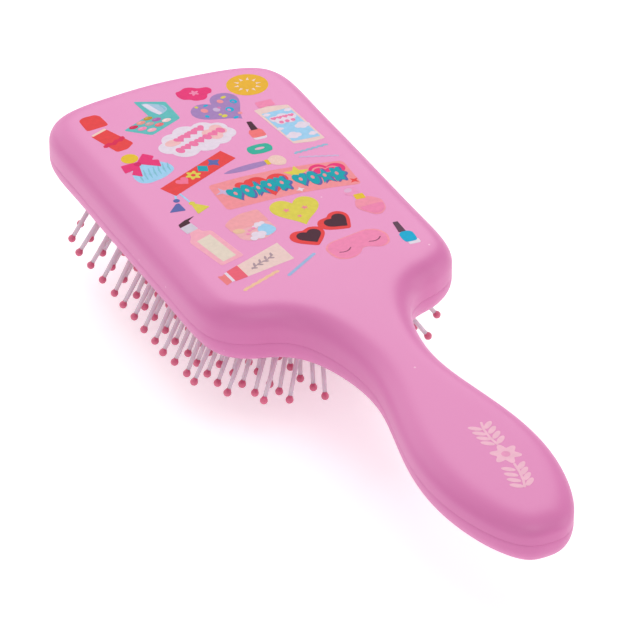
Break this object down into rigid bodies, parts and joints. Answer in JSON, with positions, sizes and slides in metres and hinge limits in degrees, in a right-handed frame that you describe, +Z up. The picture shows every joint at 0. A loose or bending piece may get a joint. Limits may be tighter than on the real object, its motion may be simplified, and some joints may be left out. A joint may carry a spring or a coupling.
{
  "type": "paddle hairbrush",
  "caption": "Paddle hairbrush with a waisted handle, a domed air cushion and splayed ball-tipped nylon pins.",
  "frame": {"origin": "centre of the footprint, on the plane that the lowest pin tips stand on", "axes": "+Z up from the pin tips to the printed back, +Y along the brush from the handle to the head, +X across the head"},
  "size_m": [0.0784, 0.24, 0.0429],
  "materials": {
    "casing_plastic": "soft-touch pink paint on moulded plastic, printed on the back",
    "tray_plastic": "as moulded",
    "cushion_rubber": "satin rubber",
    "pin_nylon": "slightly translucent nylon",
    "tip_resin": "dipped resin balls"
  },
  "bodies": {
    "casing": {"back_shell": "casing_plastic", "front_shell": "casing_plastic", "cushion_tray": "tray_plastic"},
    "cushion": {"air_cushion": "cushion_rubber"},
    "row_01": {"pin_row_01": "pin_nylon", "tip_row_01": "tip_resin"},
    "row_02": {"pin_row_02": "pin_nylon", "tip_row_02": "tip_resin"},
    "row_03": {"pin_row_03": "pin_nylon", "tip_row_03": "tip_resin"},
    "row_04": {"pin_row_04": "pin_nylon", "tip_row_04": "tip_resin"},
    "row_05": {"pin_row_05": "pin_nylon", "tip_row_05": "tip_resin"},
    "row_06": {"pin_row_06": "pin_nylon", "tip_row_06": "tip_resin"},
    "row_07": {"pin_row_07": "pin_nylon", "tip_row_07": "tip_resin"},
    "row_08": {"pin_row_08": "pin_nylon", "tip_row_08": "tip_resin"},
    "row_09": {"pin_row_09": "pin_nylon", "tip_row_09": "tip_resin"},
    "row_10": {"pin_row_10": "pin_nylon", "tip_row_10": "tip_resin"},
    "row_11": {"pin_row_11": "pin_nylon", "tip_row_11": "tip_resin"},
    "row_12": {"pin_row_12": "pin_nylon", "tip_row_12": "tip_resin"},
    "row_13": {"pin_row_13": "pin_nylon", "tip_row_13": "tip_resin"},
    "row_14": {"pin_row_14": "pin_nylon", "tip_row_14": "tip_resin"},
    "row_15": {"pin_row_15": "pin_nylon", "tip_row_15": "tip_resin"},
    "row_16": {"pin_row_16": "pin_nylon", "tip_row_16": "tip_resin"},
    "row_17": {"pin_row_17": "pin_nylon", "tip_row_17": "tip_resin"}
  },
  "joints": [
    {"name": "cushion_press", "type": "slide", "parent": "casing", "child": "cushion", "axis": [0, 0, 1], "range_m": [0, 0.0025], "stiffness_N_per_m": 4000, "deforming": ["air_cushion"]},
    {"name": "row_01_rock", "type": "hinge", "parent": "cushion", "child": "row_01", "pos_m": [0, 0.0028, 0.02629], "axis": [1, 0, 0], "range_deg": [-8, 8], "stiffness_Nm_per_rad": 0.6},
    {"name": "row_02_rock", "type": "hinge", "parent": "cushion", "child": "row_02", "pos_m": [0, 0.0093, 0.02552], "axis": [1, 0, 0], "range_deg": [-8, 8], "stiffness_Nm_per_rad": 0.6},
    {"name": "row_03_rock", "type": "hinge", "parent": "cushion", "child": "row_03", "pos_m": [0, 0.0158, 0.0251], "axis": [1, 0, 0], "range_deg": [-8, 8], "stiffness_Nm_per_rad": 0.6},
    {"name": "row_04_rock", "type": "hinge", "parent": "cushion", "child": "row_04", "pos_m": [0, 0.0223, 0.02412], "axis": [1, 0, 0], "range_deg": [-8, 8], "stiffness_Nm_per_rad": 0.6},
    {"name": "row_05_rock", "type": "hinge", "parent": "cushion", "child": "row_05", "pos_m": [0, 0.0288, 0.02331], "axis": [1, 0, 0], "range_deg": [-8, 8], "stiffness_Nm_per_rad": 0.6},
    {"name": "row_06_rock", "type": "hinge", "parent": "cushion", "child": "row_06", "pos_m": [0, 0.0353, 0.02269], "axis": [1, 0, 0], "range_deg": [-8, 8], "stiffness_Nm_per_rad": 0.6},
    {"name": "row_07_rock", "type": "hinge", "parent": "cushion", "child": "row_07", "pos_m": [0, 0.0418, 0.02225], "axis": [1, 0, 0], "range_deg": [-8, 8], "stiffness_Nm_per_rad": 0.6},
    {"name": "row_08_rock", "type": "hinge", "parent": "cushion", "child": "row_08", "pos_m": [0, 0.0483, 0.02198], "axis": [1, 0, 0], "range_deg": [-8, 8], "stiffness_Nm_per_rad": 0.6},
    {"name": "row_09_rock", "type": "hinge", "parent": "cushion", "child": "row_09", "pos_m": [0, 0.0548, 0.02189], "axis": [1, 0, 0], "range_deg": [-8, 8], "stiffness_Nm_per_rad": 0.6},
    {"name": "row_10_rock", "type": "hinge", "parent": "cushion", "child": "row_10", "pos_m": [0, 0.0613, 0.02198], "axis": [1, 0, 0], "range_deg": [-8, 8], "stiffness_Nm_per_rad": 0.6},
    {"name": "row_11_rock", "type": "hinge", "parent": "cushion", "child": "row_11", "pos_m": [0, 0.0678, 0.02225], "axis": [1, 0, 0], "range_deg": [-8, 8], "stiffness_Nm_per_rad": 0.6},
    {"name": "row_12_rock", "type": "hinge", "parent": "cushion", "child": "row_12", "pos_m": [0, 0.0743, 0.02269], "axis": [1, 0, 0], "range_deg": [-8, 8], "stiffness_Nm_per_rad": 0.6},
    {"name": "row_13_rock", "type": "hinge", "parent": "cushion", "child": "row_13", "pos_m": [0, 0.0808, 0.02331], "axis": [1, 0, 0], "range_deg": [-8, 8], "stiffness_Nm_per_rad": 0.6},
    {"name": "row_14_rock", "type": "hinge", "parent": "cushion", "child": "row_14", "pos_m": [0, 0.0873, 0.02412], "axis": [1, 0, 0], "range_deg": [-8, 8], "stiffness_Nm_per_rad": 0.6},
    {"name": "row_15_rock", "type": "hinge", "parent": "cushion", "child": "row_15", "pos_m": [0, 0.0938, 0.0251], "axis": [1, 0, 0], "range_deg": [-8, 8], "stiffness_Nm_per_rad": 0.6},
    {"name": "row_16_rock", "type": "hinge", "parent": "cushion", "child": "row_16", "pos_m": [0, 0.1003, 0.02552], "axis": [1, 0, 0], "range_deg": [-8, 8], "stiffness_Nm_per_rad": 0.6},
    {"name": "row_17_rock", "type": "hinge", "parent": "cushion", "child": "row_17", "pos_m": [0, 0.1068, 0.02629], "axis": [1, 0, 0], "range_deg": [-8, 8], "stiffness_Nm_per_rad": 0.6}
  ]
}
